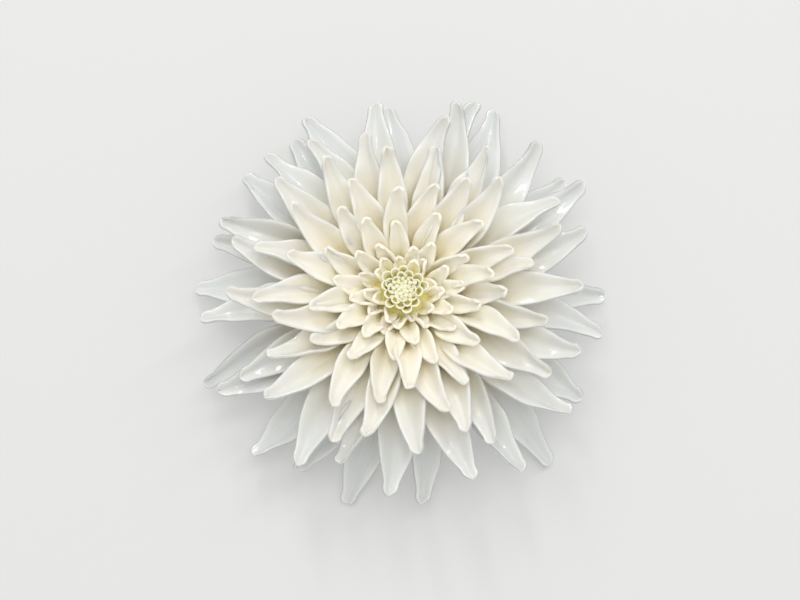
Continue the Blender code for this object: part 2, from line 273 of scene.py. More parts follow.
def petal_colour(along, across, rank, lot, side, cells):
    # Painted warm shade in the channels, laid over the petal's own olive and cream, from the root to the
    # middle.
    root = blend(fade(rank, 0.3, 0.7), *ROOT_COLOURS)
    throat = blend(fade(along, 0.1, 0.36), root, blend(fade(rank, 0.15, 0.75), *THROAT_COLOURS))
    mid_tint_and_shade = blend(fade(rank, 0.05, 0.45), MID_TINT_AND_SHADE_OUTSIDE, blend(lot, *MID_TINT_AND_SHADE_COLOURS))
    mid_tint_and_shade = blend(fade(rank, 0.55, 0.8), mid_tint_and_shade, MID_TINT_INSIDE)
    limb = blend(fade(rank, 0.1, 0.62), *LIMB_COLOURS)
    limb = blend(fade(rank, 0.6, 0.85), limb, LIMB_INSIDE)
    colour = blend(fade(along, 0.18, 0.62), throat, mid_tint_and_shade)
    colour = blend(fade(along, 0.42, 0.86), colour, limb)
    colour = blend(fade(cells, 0.35, 0.75) * 0.1, colour, CELL_COLOUR)
    # Painted highlight: the rounded rim is lightened towards its edge.
    lip = blend(fade(rank, 0.45, 0.85), *RIM_HIGHLIGHT_COLOURS)
    colour = blend(fade(abs(across), 0.7, 1.0) * fade(along, 0.25, 0.6) * 0.5, colour, lip)
    # Painted shade: the rim's outer side is greyed on the lowest petals.
    edge = fade(abs(side), 0.85, 0.2) * fade(rank, 0.75, 0.15) * fade(along, 0.35, 0.7)
    return blend(edge * 0.75, colour, EDGE_SHADE_COLOUR)


# %% The petals' finish
def petal_finish():
    made, tree, shader = surface(
        "petal_glaze",
        Subsurface_Weight=0.25,
        Subsurface_Scale=0.002,
        Subsurface_Radius=(1.0, 0.75, 0.45),
        Coat_Roughness=0.04,
        IOR=1.45,
    )
    along, across, side = attribute(tree, "along"), attribute(tree, "across"), attribute(tree, "side")
    rank, lot = attribute(tree, "rank"), attribute(tree, "lot")
    cells = streaks(across, along, lot, 16.0)
    feed(shader, Base_Color=petal_colour(along, across, rank, lot, side, cells))
    feed(shader, Roughness=fade(cells, 0.3, 0.8, 0.32, 0.42) - fade(rank, 0.5, 0.0) * 0.06)
    feed(shader, Coat_Weight=fade(rank, 0.75, 0.1, 0.15, 1.0) * fade(along, 0.25, 0.7))
    bumped(shader, cells + streaks(across, along, lot, 44.0) * 0.4, 0.00002)
    return told(made)


petal_glaze = petal_finish()

# %% [markdown]
# ## The rule of the petals
#
# A chrysanthemum sets one petal after another round its receptacle, each a golden angle on from the last,
# and the oldest ones, at the bottom, are the longest. The plan below repeats that rule with the draws of
# the solids, and notes for each petal the numbers that bend it. Blender keeps them on a mesh of loose
# points, one for each petal, as attributes. That is easier to check than a hundred separate objects.


# %% What bends a blade
GOLDEN_ANGLE = math.pi * (3 - math.sqrt(5))
TIP_CURL_START = 0.78
FIELDS = (
    "azimuth", "root_radius", "root_height", "launch", "turn", "tip_turn", "length", "half_width",
    "claw", "cup", "hood", "keel", "ogee", "taper", "round_from", "thickness",
    "roll", "twist", "bend", "phase", "lot", "rank",
)


def mix(a, b, share):
    return a + (b - a) * share


def scatter(draw, most):
    return draw.uniform(-most, most)


def arc(start, turn, length):
    """How far out and up a line gets that starts at one elevation and turns at a steady rate."""
    end = start + turn * length
    return (math.sin(end) - math.sin(start)) / turn, (math.cos(start) - math.cos(end)) / turn


def reach(blade):
    """How far out and up the tip is from the root, for a midrib of length 1."""
    out, up = arc(blade["launch"], blade["turn"], TIP_CURL_START)
    tip_out, tip_up = arc(blade["end"], blade["tip_turn"], 1 - TIP_CURL_START)
    return out + tip_out, up + tip_up


def steer(blade, end):
    """Points the blade's body at an elevation where its tip's own curl begins."""
    blade["end"] = end
    blade["turn"] = (end - blade["launch"]) / TIP_CURL_START


def curl_tip(blade, degrees):
    blade["tip_turn"] = math.radians(degrees) / (1 - TIP_CURL_START)


print("each blade is told by", len(FIELDS), "numbers")

# %% [markdown]
# ## The plan of the ray petals
#
# Most pairs give the value of the lowest petal and that of the innermost one. The pairs of the keel and
# of the tips' scatter are the two ends of a draw instead. Powers say how quickly a value gets from the
# lowest petal's to the innermost one's, and the scatter how far one petal strays from the rule. Draws for
# looks alone, such as a petal's lot, come from a generator of their own, so that they don't disturb the
# draws of the solids.

# %% The sizes of the ray petals
BLOOM_RADIUS = 0.0636
RECEPTACLE_RADIUS = 0.0145
RECEPTACLE_NARROWING = 0.58
RAY_COUNT = 122
RAY_SEED = 425
RAY_LOOKS_SEED = 7
RAY_PHASE = 123
RAY_RISE = (0.0015, RECEPTACLE_HEIGHT - 0.0006)
RAY_TIP_RADIUS = (BLOOM_RADIUS, 0.0095)
RAY_TIP_POWERS = (1.9, 1.8)
RAY_TIP_SCATTER = (-0.06, 0.02)
RAY_LAUNCH = (12, 78)
RAY_LAUNCH_POWER = 0.85
RAY_END = (-38, 52)
RAY_END_POWER = 0.65
RAY_TIP_CURL = (36, 30)
RAY_HALF_WIDTH = 0.0064
RAY_WIDTH_POWER = 0.68
RAY_CLAW = (0.001, 0.0014)
RAY_CLAW_WIDENS_FROM = 0.6
RAY_CUP = (0.76, 1.0)
RAY_KEEL = (0.12, 0.45)
RAY_OGEE = (0.15, 0.85)
RAY_TIP_HALF_WIDTH = (0.0021, 0.001)
RAY_TIP_ROUNDED = 1.2
RAY_THICKNESS = 0.0009
RAY_ROOT_DEPTH = 0.0035
RAY_SCATTER = {
    "azimuth": 4,
    "launch": 3,
    "end": 5,
    "tip_curl": 16,
    "width": 0.12,
    "cup": 0.15,
    "ogee": 0.25,
    "roll": 14,
    "twist": 38,
    "bend": 0.14,
}
INNERMOST_STRAYS = 1.7
TIP_CLEARANCE = 0.0018
print("a bloom of", round(BLOOM_RADIUS * 2000, 1), "mm at most, with", RAY_COUNT, "petals")


# %% The plan of the ray petals
def dome_radius(share):
    """Radius of the receptacle at a share of its height."""
    return RECEPTACLE_RADIUS * (1 - RECEPTACLE_NARROWING * share**2)


def tip_at(share):
    """How far from the axis the tips of this layer end."""
    outermost, innermost = RAY_TIP_RADIUS
    inner_power, outer_power = RAY_TIP_POWERS
    return mix(innermost, outermost, (1 - share**inner_power) ** outer_power)


def fit_length(blade, tip_radius):
    blade["length"] = (tip_radius - blade["root_radius"]) / reach(blade)[0]


def ray(order, draw, own):
    """One petal of the spiral. The draws come in the same order as in the solids; own is for finer looks."""
    share = order / (RAY_COUNT - 1)
    rise = mix(*RAY_RISE, share)
    azimuth = math.radians(RAY_PHASE + scatter(draw, RAY_SCATTER["azimuth"])) + order * GOLDEN_ANGLE
    tip_radius = tip_at(share) * (1 + draw.uniform(*RAY_TIP_SCATTER))
    strays = mix(1.0, INNERMOST_STRAYS, share)
    launch_stray = strays * scatter(draw, RAY_SCATTER["launch"])
    launch = math.radians(mix(*RAY_LAUNCH, share**RAY_LAUNCH_POWER) + launch_stray)
    end_stray = strays * scatter(draw, RAY_SCATTER["end"])
    blade = {"azimuth": azimuth, "launch": launch, "rank": share}
    steer(blade, math.radians(mix(*RAY_END, share**RAY_END_POWER) + end_stray))
    curl_tip(blade, mix(*RAY_TIP_CURL, share) + scatter(draw, RAY_SCATTER["tip_curl"]))
    width = RAY_HALF_WIDTH * (tip_radius / BLOOM_RADIUS) ** RAY_WIDTH_POWER
    blade["half_width"] = width * (1 + scatter(draw, RAY_SCATTER["width"]))
    widened = max(share - RAY_CLAW_WIDENS_FROM, 0.0) / (1 - RAY_CLAW_WIDENS_FROM)
    blade["claw"] = mix(*RAY_CLAW, widened)
    blade["cup"] = mix(*RAY_CUP, share) + scatter(draw, RAY_SCATTER["cup"])
    blade["keel"] = draw.uniform(*RAY_KEEL)
    blade["ogee"] = mix(*RAY_OGEE, share) + scatter(draw, RAY_SCATTER["ogee"])
    tip_half_width = mix(*RAY_TIP_HALF_WIDTH, share)
    blade["taper"] = 1 - tip_half_width / blade["half_width"]
    blade["hood"] = 0.0
    blade["thickness"] = RAY_THICKNESS
    blade["roll"] = math.radians(strays * scatter(draw, RAY_SCATTER["roll"]))
    blade["twist"] = math.radians(scatter(draw, RAY_SCATTER["twist"]))
    blade["bend"] = scatter(draw, RAY_SCATTER["bend"])
    blade["phase"] = own.uniform(0, 2 * math.pi)
    blade["lot"] = own.random()
    blade["root_radius"] = dome_radius(rise / RECEPTACLE_HEIGHT) - RAY_ROOT_DEPTH * math.cos(launch)
    blade["root_height"] = RECEPTACLE_BASE + rise - RAY_ROOT_DEPTH * math.sin(launch)
    fit_length(blade, tip_radius)
    while blade["root_height"] + blade["length"] * reach(blade)[1] < TIP_CLEARANCE:
        steer(blade, blade["end"] + math.radians(1))
        fit_length(blade, tip_radius)
    blade["round_from"] = 1 - RAY_TIP_ROUNDED * tip_half_width / blade["length"]
    return blade


draw, own = random.Random(RAY_SEED), random.Random(RAY_LOOKS_SEED)
rays = [ray(order, draw, own) for order in range(RAY_COUNT)]
print("petals:", len(rays), "longest", round(max(blade["length"] for blade in rays) * 1000, 1), "mm")

# %% [markdown]
# ## One blank for every blade
#
# Like a leaf cut from wax before it is bent, the blank is a straight strip with a thick round rim, closed
# at both ends. Its coordinates are not a size but an address: x runs across the blade, y along it and z
# from the lower to the upper face. Rings of points crowd towards the tip, where the shape changes
# fastest. A grid with a Solidify modifier would be quicker to make, but its rim would be square.


# %% Loft a closed mesh
def lofted(name, rings):
    """A closed mesh through rings of as many points each, as an object of the scene."""
    shape = bmesh.new()
    loops = [[shape.verts.new(point) for point in ring] for ring in rings]
    for first, second in zip(loops, loops[1:]):
        for i, corner in enumerate(first):
            j = (i + 1) % len(first)
            shape.faces.new((corner, first[j], second[j], second[i]))
    shape.faces.new(loops[0][::-1])
    shape.faces.new(loops[-1])
    mesh = bpy.data.meshes.new(name)
    shape.to_mesh(mesh)
    shape.free()
    made = bpy.data.objects.new(name, mesh)
    bpy.context.scene.collection.objects.link(made)
    print("lofted", name, "through", len(rings), "rings")
    return made


# %% Cut the blank
RIM_TURNS = (45, 90, 135)
RINGS_CROWD = 1.9


def rim(way, turns):
    """The half circle at one side of the section; past 1 across, the address tells how far round it is."""
    return [(way * (1 + math.sin(math.radians(turn))), math.cos(math.radians(turn))) for turn in turns]


def blank(name, rings, upper, lower):
    """A closed strip whose corners hold (across, along, side)."""
    section = [(mix(-1, 1, i / upper), 1.0) for i in range(upper + 1)] + rim(1, RIM_TURNS)
    section += [(mix(1, -1, i / lower), -1.0) for i in range(lower + 1)] + rim(-1, RIM_TURNS[::-1])
    alongs = [1 - (1 - ring / rings) ** RINGS_CROWD for ring in range(rings + 1)]
    return lofted(name, [[(across, along, side) for across, side in section] for along in alongs])


broad_blank = blank("broad_blank", 26, 14, 8)
small_blank = blank("small_blank", 18, 10, 6)

# %% [markdown]
# ## The tree that bends the blades
#
# Geometry Nodes put a blank at each point of a plan and make the copies real. Each corner then reads its
# address and its petal's numbers, and goes where the sums send it: to its width, cupped and rolled across
# the midrib, and along a midrib that bends out and then hooks up at the tip. Sums on attributes were
# chosen over curve and lattice modifiers because the very same sums shaped the solids.


# %% Words for geometry trees
def new_tree(name, numbers):
    """A tree that takes in a plan, a blank, a finish and some named numbers, and the node that gives them."""
    tree = bpy.data.node_groups.new(name, "GeometryNodeTree")
    for title, kind in {"Plan": "Geometry", "Blank": "Object", "Finish": "Material", **numbers}.items():
        tree.interface.new_socket(title, in_out="INPUT", socket_type="NodeSocket" + kind)
    tree.interface.new_socket("Made", in_out="OUTPUT", socket_type="NodeSocketGeometry")
    return tree, Signal.add(tree, "NodeGroupInput")


def field(tree, name):
    """A number that is stored on the points, read back."""
    return Signal.add(tree, "GeometryNodeInputNamedAttribute", {"data_type": "FLOAT"}, {"Name": name})


def kept(geometry, name, value):
    """The geometry with a number stored on its points."""
    settings = {"data_type": "FLOAT", "domain": "POINT"}
    sockets = {"Geometry": geometry, "Name": name, "Value": value}
    return Signal.add(geometry.tree, "GeometryNodeStoreNamedAttribute", settings, sockets)


def cut_of(given):
    """The mesh of the blank, and the coordinates of its corners."""
    sockets = {"Object": given.output("Blank")}
    cut = Signal.add(given.tree, "GeometryNodeObjectInfo", {"transform_space": "ORIGINAL"}, sockets)
    place = Signal.add(given.tree, "GeometryNodeInputPosition")
    return cut.output("Geometry"), Signal.add(given.tree, "ShaderNodeSeparateXYZ", sockets={0: place})


def hand_out(given, geometry):
    """Rounds the shading off, makes the copies real, gives them their finish and ends the tree."""
    sockets = {"Geometry": geometry, "Shade Smooth": True}
    smooth = Signal.add(given.tree, "GeometryNodeSetShadeSmooth", sockets=sockets)
    real = Signal.add(given.tree, "GeometryNodeRealizeInstances", sockets={"Geometry": smooth})
    sockets = {"Geometry": real, "Material": given.output("Finish")}
    done = Signal.add(given.tree, "GeometryNodeSetMaterial", sockets=sockets)
    Signal.add(given.tree, "NodeGroupOutput", sockets={0: done})
    print("tree", given.tree.name, "with", len(given.tree.nodes), "nodes")


# %% [markdown]
# ### How wide a blade is
#
# A petal starts as a narrow claw, is broadest about half way, and then tapers to a finger that ends
# round. `ogee` goes from a plain taper to one that swings, and a root over the last stretch closes the
# tip in a half circle.

# %% The width of a blade
CLAW_END = 0.7
WIDEST = 0.5
TAPER_END = 0.93
TAPER_POWER = 1.5
TIP_ROUNDING = 0.97


def blade_width(tree, along):
    """Half the width at a share of the length."""
    half_width = field(tree, "half_width")
    claw = field(tree, "claw") / half_width
    claw = claw + (1 - claw) * fade(along, 0.0, CLAW_END)
    past = ((along - WIDEST).at_least(0.0) / (TAPER_END - WIDEST)).at_most(1.0)
    plain = past**TAPER_POWER
    taper = 1 - field(tree, "taper") * (plain + (fade(past, 0.0, 1.0) - plain) * field(tree, "ogee"))
    round_from = field(tree, "round_from")
    close = (along - round_from).at_least(0.0) / (1 - round_from)
    return half_width * claw * taper * (1 - TIP_ROUNDING * close * close).sqrt()


# %% [markdown]
# ### What a blade is like across
#
# The section is a cup on a soft keel: a hyperbola, which is round at the midrib and straight towards the
# rims. Its thickness is set off square to it. "Tube" bends the section into an arc of one radius instead,
# which leaves the florets of the heart with round mouths. Ruffles run along the rims, and grooves down
# the face.

# %% The section of a blade
CUP_AT_ROOT = 1.3
CUP_LOSS = 0.75
CUP_TIP_GAIN = 0.5
THIN_FROM = 0.985
TIP_THINNING = 0.96
TUBE_BOW = math.radians(88)
TUBE_RADIUS = 0.9
RUFFLE_WAVES = (9.0, 17.0)
RUFFLE_SLANT = 1.7
GROOVE_WAVES = 9.42


def blade_relief(given, along, inner, half):
    """Ruffles along the rims and grooves down the face."""
    edge, phase = abs(inner), field(given.tree, "phase")
    slow, quick = RUFFLE_WAVES
    swing = (along * slow + phase + inner * RUFFLE_SLANT).sin() * (along * quick + phase * 2).cos()
    ruffle = given.output("Ruffle") * half * edge * edge * swing
    ruffle = ruffle * fade(along, 0.2, 0.55) * fade(along, 1.0, 0.9)
    groove = (inner * GROOVE_WAVES).cos() * given.output("Groove Depth")
    groove = groove * fade(along, 0.25, 0.7) * fade(edge, 0.95, 0.5) * fade(along, 1.0, 0.93)
    return ruffle, groove


def blade_section(given, along, half):
    """How far a corner is aside of the midrib, and how far off its face."""
    tree, tube = given.tree, given.output("Tube")
    half_width, address, keel = field(tree, "half_width"), field(tree, "across"), field(tree, "keel")
    inner = address.at_most(1.0).at_least(-1.0)
    bead = 1 + given.output("Rim Bead") * fade(abs(inner), 0.5, 1.0)
    thin = (along - THIN_FROM).at_least(0.0) / (1 - THIN_FROM)
    thickness = field(tree, "thickness") * bead * (1 - TIP_THINNING * thin * thin).sqrt()
    across = inner + (address - inner) * thickness / (half * 2)
    cup = field(tree, "cup") * (CUP_AT_ROOT - CUP_LOSS * along + CUP_TIP_GAIN * along * along * along * along)
    cup = cup * (1 + (half / half_width - 1) * field(tree, "hood"))
    crown = (across * across + keel * keel).sqrt()
    slope = cup * across / crown
    offset = field(tree, "side") * thickness / ((1 + slope * slope).sqrt() * 2)
    aside = half * across - slope * offset
    normal = cup * half * (crown - keel) + offset
    bow = across * half / half_width * TUBE_BOW
    tube_radius = half_width * TUBE_RADIUS - offset
    aside = aside + (tube_radius * bow.sin() - aside) * tube
    normal = normal + (half_width * TUBE_RADIUS - tube_radius * bow.cos() - normal) * tube
    ruffle, groove = blade_relief(given, along, inner, half)
    return aside, normal + ruffle + groove


# %% [markdown]
# ### Where the midrib takes it
#
# The midrib bends in an upright plane through the axis, in two arcs: the body, and the tip's own curl.
# The section is rolled and twisted round it, and a bend swings the tip aside. Arcs are used rather than
# splines because their length and their end are known beforehand, so that each tip ends where its layer
# ends.


# %% The run of a blade
def blade_place(tree, along, aside, normal):
    """Where a corner goes."""
    launch, turn, tip_turn = field(tree, "launch"), field(tree, "turn"), field(tree, "tip_turn")
    length, azimuth = field(tree, "length"), field(tree, "azimuth")
    body_end = launch + turn * along.at_most(TIP_CURL_START)
    lean = body_end + tip_turn * (along - TIP_CURL_START).at_least(0.0)
    out = (body_end.sin() - launch.sin()) / turn + (lean.sin() - body_end.sin()) / tip_turn
    up = (launch.cos() - body_end.cos()) / turn + (body_end.cos() - lean.cos()) / tip_turn
    roll = field(tree, "roll") + field(tree, "twist") * along * along
    shift = aside * roll.cos() - normal * roll.sin() + field(tree, "bend") * length * along * along * along
    lift = aside * roll.sin() + normal * roll.cos()
    radial = field(tree, "root_radius") + out * length - lift * lean.sin()
    place = {
        0: azimuth.cos() * radial - azimuth.sin() * shift + AXIS.x,
        1: azimuth.sin() * radial + azimuth.cos() * shift + AXIS.y,
        2: field(tree, "root_height") + up * length + lift * lean.cos(),
    }
    return Signal.add(tree, "ShaderNodeCombineXYZ", sockets=place)


def blade_tree():
    numbers = dict.fromkeys(("Rim Bead", "Groove Depth", "Ruffle", "Tube"), "Float")
    tree, given = new_tree("bend_blades", numbers)
    cut, address = cut_of(given)
    for name, axis in (("across", "X"), ("along", "Y"), ("side", "Z")):
        cut = kept(cut, name, address.output(axis))
    sockets = {"Points": given.output("Plan"), "Instance": cut}
    copies = Signal.add(tree, "GeometryNodeInstanceOnPoints", sockets=sockets)
    real = Signal.add(tree, "GeometryNodeRealizeInstances", sockets={"Geometry": copies})
    along = field(tree, "along")
    aside, normal = blade_section(given, along, blade_width(tree, along))
    sockets = {"Geometry": real, "Position": blade_place(tree, along, aside, normal)}
    hand_out(given, Signal.add(tree, "GeometryNodeSetPosition", sockets=sockets))
    return tree


bend_blades = blade_tree()

# %% [markdown]
# ## From a plan to a plain mesh
#
# A tree hangs on a piece as a modifier. What the closing export wants is a plain mesh, so the result is
# taken off the evaluated object, the modifier goes, and the faces are turned outwards.


# %% Grow blades from a plan
def faces_out(mesh):
    """Turns every face of a closed mesh outwards."""
    shape = bmesh.new()
    shape.from_mesh(mesh)
    bmesh.ops.recalc_face_normals(shape, faces=shape.faces)
    shape.to_mesh(mesh)
    shape.free()


def planned(name, places, columns):
    """A mesh of loose points that carries one number for each point and each column."""
    plan = bpy.data.meshes.new(name + "_plan")
    plan.from_pydata(places, [], [])
    for key, values in columns.items():
        plan.attributes.new(key, "FLOAT", "POINT").data.foreach_set("value", values)
    return plan


def baked(name, plan, tree, values):
    """Sets the tree's inputs by their identifiers, runs it on the plan and keeps the result alone."""
    host = bpy.data.objects.new(name, plan)
    modifier = host.modifiers.new(tree.name, "NODES")
    modifier.node_group = tree
    for item in tree.interface.items_tree:
        if item.item_type == "SOCKET" and item.in_out == "INPUT" and item.name in values:
            modifier[item.identifier] = values[item.name]
    bpy.context.scene.collection.objects.link(host)
    graph = bpy.context.evaluated_depsgraph_get()
    mesh = bpy.data.meshes.new_from_object(host.evaluated_get(graph))
    host.modifiers.clear()
    mesh.name = name
    faces_out(mesh)
    host.data = mesh
    print(name, "has", len(plan.vertices), "copies of its blank and", len(mesh.polygons), "faces")
    return host


def grow(name, blades, cut, finish, **sizes):
    """Bends a blank for each blade of a plan, and joins them in one plain mesh."""
    columns = {key: [blade[key] for blade in blades] for key in FIELDS}
    plan = planned(name, [AXIS] * len(blades), columns)
    sizes = {key.replace("_", " "): value for key, value in sizes.items()}
    return baked(name, plan, bend_blades, {"Blank": cut, "Finish": finish, **sizes})


# %% [markdown]
# ## The ray petals
#
# Two thirds of the petals are broad and long, and carry the glossy, gently ruffled tips that catch the
# light. The others stand up round the heart, are much smaller and need fewer faces. That makes two pieces
# on one body.

# %% Grow the petals
BROAD_COUNT = 84
BROAD_RELIEF = {"Rim_Bead": 0.12, "Groove_Depth": 0.00006, "Ruffle": 0.22}
SMALL_RELIEF = {"Rim_Bead": 0.05, "Groove_Depth": 0.00002, "Ruffle": 0.16}
broad = grow("broad_petals", rays[:BROAD_COUNT], broad_blank, petal_glaze, **BROAD_RELIEF)
small = grow("small_petals", rays[BROAD_COUNT:], small_blank, petal_glaze, **SMALL_RELIEF)
for petals in (broad, small):
    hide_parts("ray_petals")
    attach(petals, "root")

# %% [markdown]
# ## The receptacle
#
# The petals stand on a fleshy dome, which shows only in the cracks between their claws. A profile spun
# round the axis gives its shape, and shallow pits in the sides mark the seats of the claws. Its skin lies
# a little inside the solid's, so that the swells between the pits stay within it too.

# %% Turned pieces
SKIN_SHARE = 0.985
CREASE_ANGLE = 50


def turned(name, profile, sides, shape_at=lambda angle, height: 1.0):
    """Spins a profile of (radius, height) pairs, bottom to top, with its ends closed in the middle."""
    rings = []
    for radius, height in profile:
        ring = []
        for i in range(sides):
            angle = 2 * math.pi * i / sides
            away = radius * shape_at(angle, height)
            ring.append((AXIS.x + away * math.cos(angle), AXIS.y + away * math.sin(angle), height))
        rings.append(ring)
    made = lofted(name, rings)
    faces_out(made.data)
    made.data.shade_smooth()
    made.data.set_sharp_from_angle(angle=math.radians(CREASE_ANGLE))
    return made


def flesh_finish():
    made, tree, shader = surface(
        "receptacle_flesh", Roughness=0.5, Subsurface_Weight=0.1, Subsurface_Scale=0.003
    )
    mottle = speckled(tree, 900.0, 3.0)
    feed(shader, Base_Color=blend(mottle, rgb(0.76, 0.70, 0.20), rgb(0.84, 0.78, 0.36)))
    bumped(shader, mottle, 0.0002)
    return told(made)


# %% Turn the receptacle
DOME_STEPS = 14
DOME_SIDES = 48
SEAT_DEPTH = 0.012
SEATS_ROUND = 13
SEATS_WIND = 900


def seats(angle, height):
    """Shallow pits round the dome, which wind up it as the claws do."""
    return 1 + SEAT_DEPTH * math.cos(SEATS_ROUND * angle + height * SEATS_WIND)


shares = [i / DOME_STEPS for i in range(DOME_STEPS + 1)]
profile = [(dome_radius(share) * SKIN_SHARE, RECEPTACLE_BASE + RECEPTACLE_HEIGHT * share) for share in shares]
receptacle = turned("receptacle", profile, DOME_SIDES, seats)
receptacle.data.materials.append(flesh_finish())
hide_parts("ray_petals")
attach(receptacle, "root")
print("receptacle faces:", len(receptacle.data.polygons))

# %% [markdown]
# ## The heart
#
# The youngest florets are still opening. Round the middle stand little hoods, whose rims roll in over an
# olive throat. They are the same kind of blade as a petal, so the bending tree makes them too, from a
# plan of their own, with "Tube" at 1. The closed buds in the very middle are clubs with a pinched mouth,
# set in a spiral.


# %% The heart's finishes
def heart_finish():
    made, tree, shader = surface(
        "heart_glaze",
        Subsurface_Weight=0.25,
        Subsurface_Scale=0.0015,
        Subsurface_Radius=(1.0, 0.8, 0.35),
        IOR=1.45,
    )
    along, across = attribute(tree, "along"), attribute(tree, "across")
    lot, rank = attribute(tree, "lot"), attribute(tree, "rank")
    throat = blend(lot, rgb(0.74, 0.67, 0.12), rgb(0.82, 0.76, 0.26))
    lip = blend(rank, rgb(0.97, 0.92, 0.66), rgb(0.98, 0.93, 0.74))
    open_part = (fade(along, 0.45, 0.9) + fade(abs(across), 0.6, 1.0)).at_most(1.0)
    speckle = streaks(across, along, lot, 9.0)
    colour = blend(open_part, throat, lip)
    feed(shader, Base_Color=blend(fade(speckle, 0.4, 0.8) * 0.2, colour, rgb(0.80, 0.80, 0.50)))
    feed(shader, Roughness=fade(speckle, 0.3, 0.8, 0.26, 0.42))
    bumped(shader, speckle, 0.00005)
    return told(made)


def bud_finish():
    made, tree, shader = surface("bud_glaze", Subsurface_Weight=0.1, Subsurface_Scale=0.0008, IOR=1.45)
    along, lot = attribute(tree, "along"), attribute(tree, "lot")
    lip = blend(lot, rgb(0.96, 0.94, 0.74), rgb(0.94, 0.91, 0.66))
    grain = speckled(tree, 4000.0, 2.0)
    colour = blend(fade(along, 0.35, 0.9), rgb(0.86, 0.80, 0.42), lip)
    feed(shader, Base_Color=blend(grain * 0.25, colour, rgb(0.78, 0.76, 0.44)))
    feed(shader, Roughness=fade(grain, 0.3, 0.7, 0.28, 0.45))
    bumped(shader, grain, 0.00004)
    return told(made)


heart_glaze, bud_glaze = heart_finish(), bud_finish()

# %% [markdown]
# ## The buds
#
# A bud is a club of a dozen sides: its rim stands up round a dimple, and opens on one side. The tree that
# sets the buds gives each its size, leans it outwards and spins it by a seeded draw, so that no two
# mouths agree.

# %% The buds' blank
BUD_PROFILE = (
    (0.5, 0.0), (0.72, 0.3), (0.98, 0.62), (1.0, 0.8), (0.86, 0.93), (0.6, 1.0), (0.38, 0.99), (0.15, 0.95)
)
BUD_SIDES = 12
BUD_LOBES = 3
BUD_LOBE_DEPTH = 0.1
MOUTH_FROM = 0.6
MOUTH_DEPTH = 0.1


def bud_point(radius, height, angle):
    away = radius * (1 + BUD_LOBE_DEPTH * math.cos(BUD_LOBES * angle))
    dip = MOUTH_DEPTH * max(math.cos(angle), 0.0) ** 2 * max(height - MOUTH_FROM, 0.0) / (1 - MOUTH_FROM)
    return away * math.cos(angle), away * math.sin(angle), height - dip


angles = [2 * math.pi * i / BUD_SIDES for i in range(BUD_SIDES)]
bud_blank = lofted("bud_blank", [[bud_point(*ring, angle) for angle in angles] for ring in BUD_PROFILE])


# %% The tree that sets the buds
SPIN_RANGE = 6.28


def bud_tree():
    tree, given = new_tree("set_buds", {"Radius": "Float", "Seed": "Int"})
    cut, address = cut_of(given)
    cut = kept(cut, "along", address.output("Z"))
    size = given.output("Radius") * field(tree, "girth")
    scale = Signal.add(tree, "ShaderNodeCombineXYZ", sockets={0: size, 1: size, 2: field(tree, "length")})
    lean = {0: 0.0, 1: field(tree, "lean"), 2: field(tree, "azimuth")}
    lean = Signal.add(tree, "ShaderNodeCombineXYZ", sockets=lean)
    aim = Signal.add(tree, "FunctionNodeEulerToRotation", sockets={0: lean})
    spin = {2: 0.0, 3: SPIN_RANGE, "Seed": given.output("Seed")}
    spin = Signal.add(tree, "FunctionNodeRandomValue", {"data_type": "FLOAT"}, spin, out=1)
    spin = Signal.add(tree, "ShaderNodeCombineXYZ", sockets={2: spin})
    spin = Signal.add(tree, "FunctionNodeEulerToRotation", sockets={0: spin})
    turn = Signal.add(tree, "FunctionNodeRotateRotation", {"rotation_space": "LOCAL"}, {0: aim, 1: spin})
    sockets = {"Points": given.output("Plan"), "Instance": cut, "Rotation": turn, "Scale": scale}
    hand_out(given, Signal.add(tree, "GeometryNodeInstanceOnPoints", sockets=sockets))
    return tree


# %% Set the buds
HEART_RADIUS = 0.0056
HEART_SEED = 11
HEART_LOOKS_SEED = 23
BUD_COUNT = 34
BUD_RADIUS = 0.0006
BUD_SPREAD = 0.55
BUD_FOOT = 0.0009
BUD_LENGTH = (0.0036, 0.0042)
BUD_LENGTH_SCATTER = 0.0003
BUD_LEAN = (0, 16)
BUD_GIRTH = (1.0, 1.3)
SPIN_SEED = 4

draw, own = random.Random(HEART_SEED), random.Random(HEART_LOOKS_SEED)
places = []
columns = {key: [] for key in ("azimuth", "lean", "length", "girth", "lot")}
for order in range(BUD_COUNT):
    share = (order + 0.5) / BUD_COUNT
    azimuth = order * GOLDEN_ANGLE
    radius = BUD_SPREAD * HEART_RADIUS * math.sqrt(share)
    foot = Vector((radius * math.cos(azimuth), radius * math.sin(azimuth), HEART_BASE + BUD_FOOT))
    places.append(AXIS + foot)
    columns["azimuth"].append(azimuth)
    columns["lean"].append(math.radians(mix(*BUD_LEAN, share)))
    columns["length"].append(mix(*BUD_LENGTH, share) + scatter(draw, BUD_LENGTH_SCATTER))
    columns["girth"].append(own.uniform(*BUD_GIRTH))
    columns["lot"].append(own.random())
values = {"Blank": bud_blank, "Finish": bud_glaze, "Radius": BUD_RADIUS, "Seed": SPIN_SEED}
buds = baked("heart_buds", planned("heart_buds", places, columns), bud_tree(), values)

# %% [markdown]
# ## The hoods and the cushion
#
# The hoods follow the buds in the same spiral. They are short, nearly upright and hardly tapered, so that
# their mouths stay round. All of them stand on a low cushion, turned like the receptacle.

# %% The plan of the hoods
HOOD_COUNT = 24
HOOD_FOOT = 0.0004
HOOD_SPREAD = (0.62, 0.86)
HOOD_LAUNCH = (88, 74)
HOOD_BOW = (4, 20)
HOOD_TIP_CURL = (10, 50)
HOOD_LENGTH = (0.0046, 0.006)
HOOD_HALF_WIDTH = (0.0012, 0.0016)
HOOD_CUP = (1.3, 1.7)
HOOD_SCATTER = {"launch": 3, "azimuth": 5, "length": 0.0004, "width": 0.15}
HOOD_SHAPE = {
    "claw": 0.0006, "hood": 1.0, "keel": 0.8, "ogee": 0.0, "taper": 0.15, "round_from": 0.82,
    "thickness": 0.0005,
}
STRAIGHT = {"roll": 0.0, "twist": 0.0, "bend": 0.0}


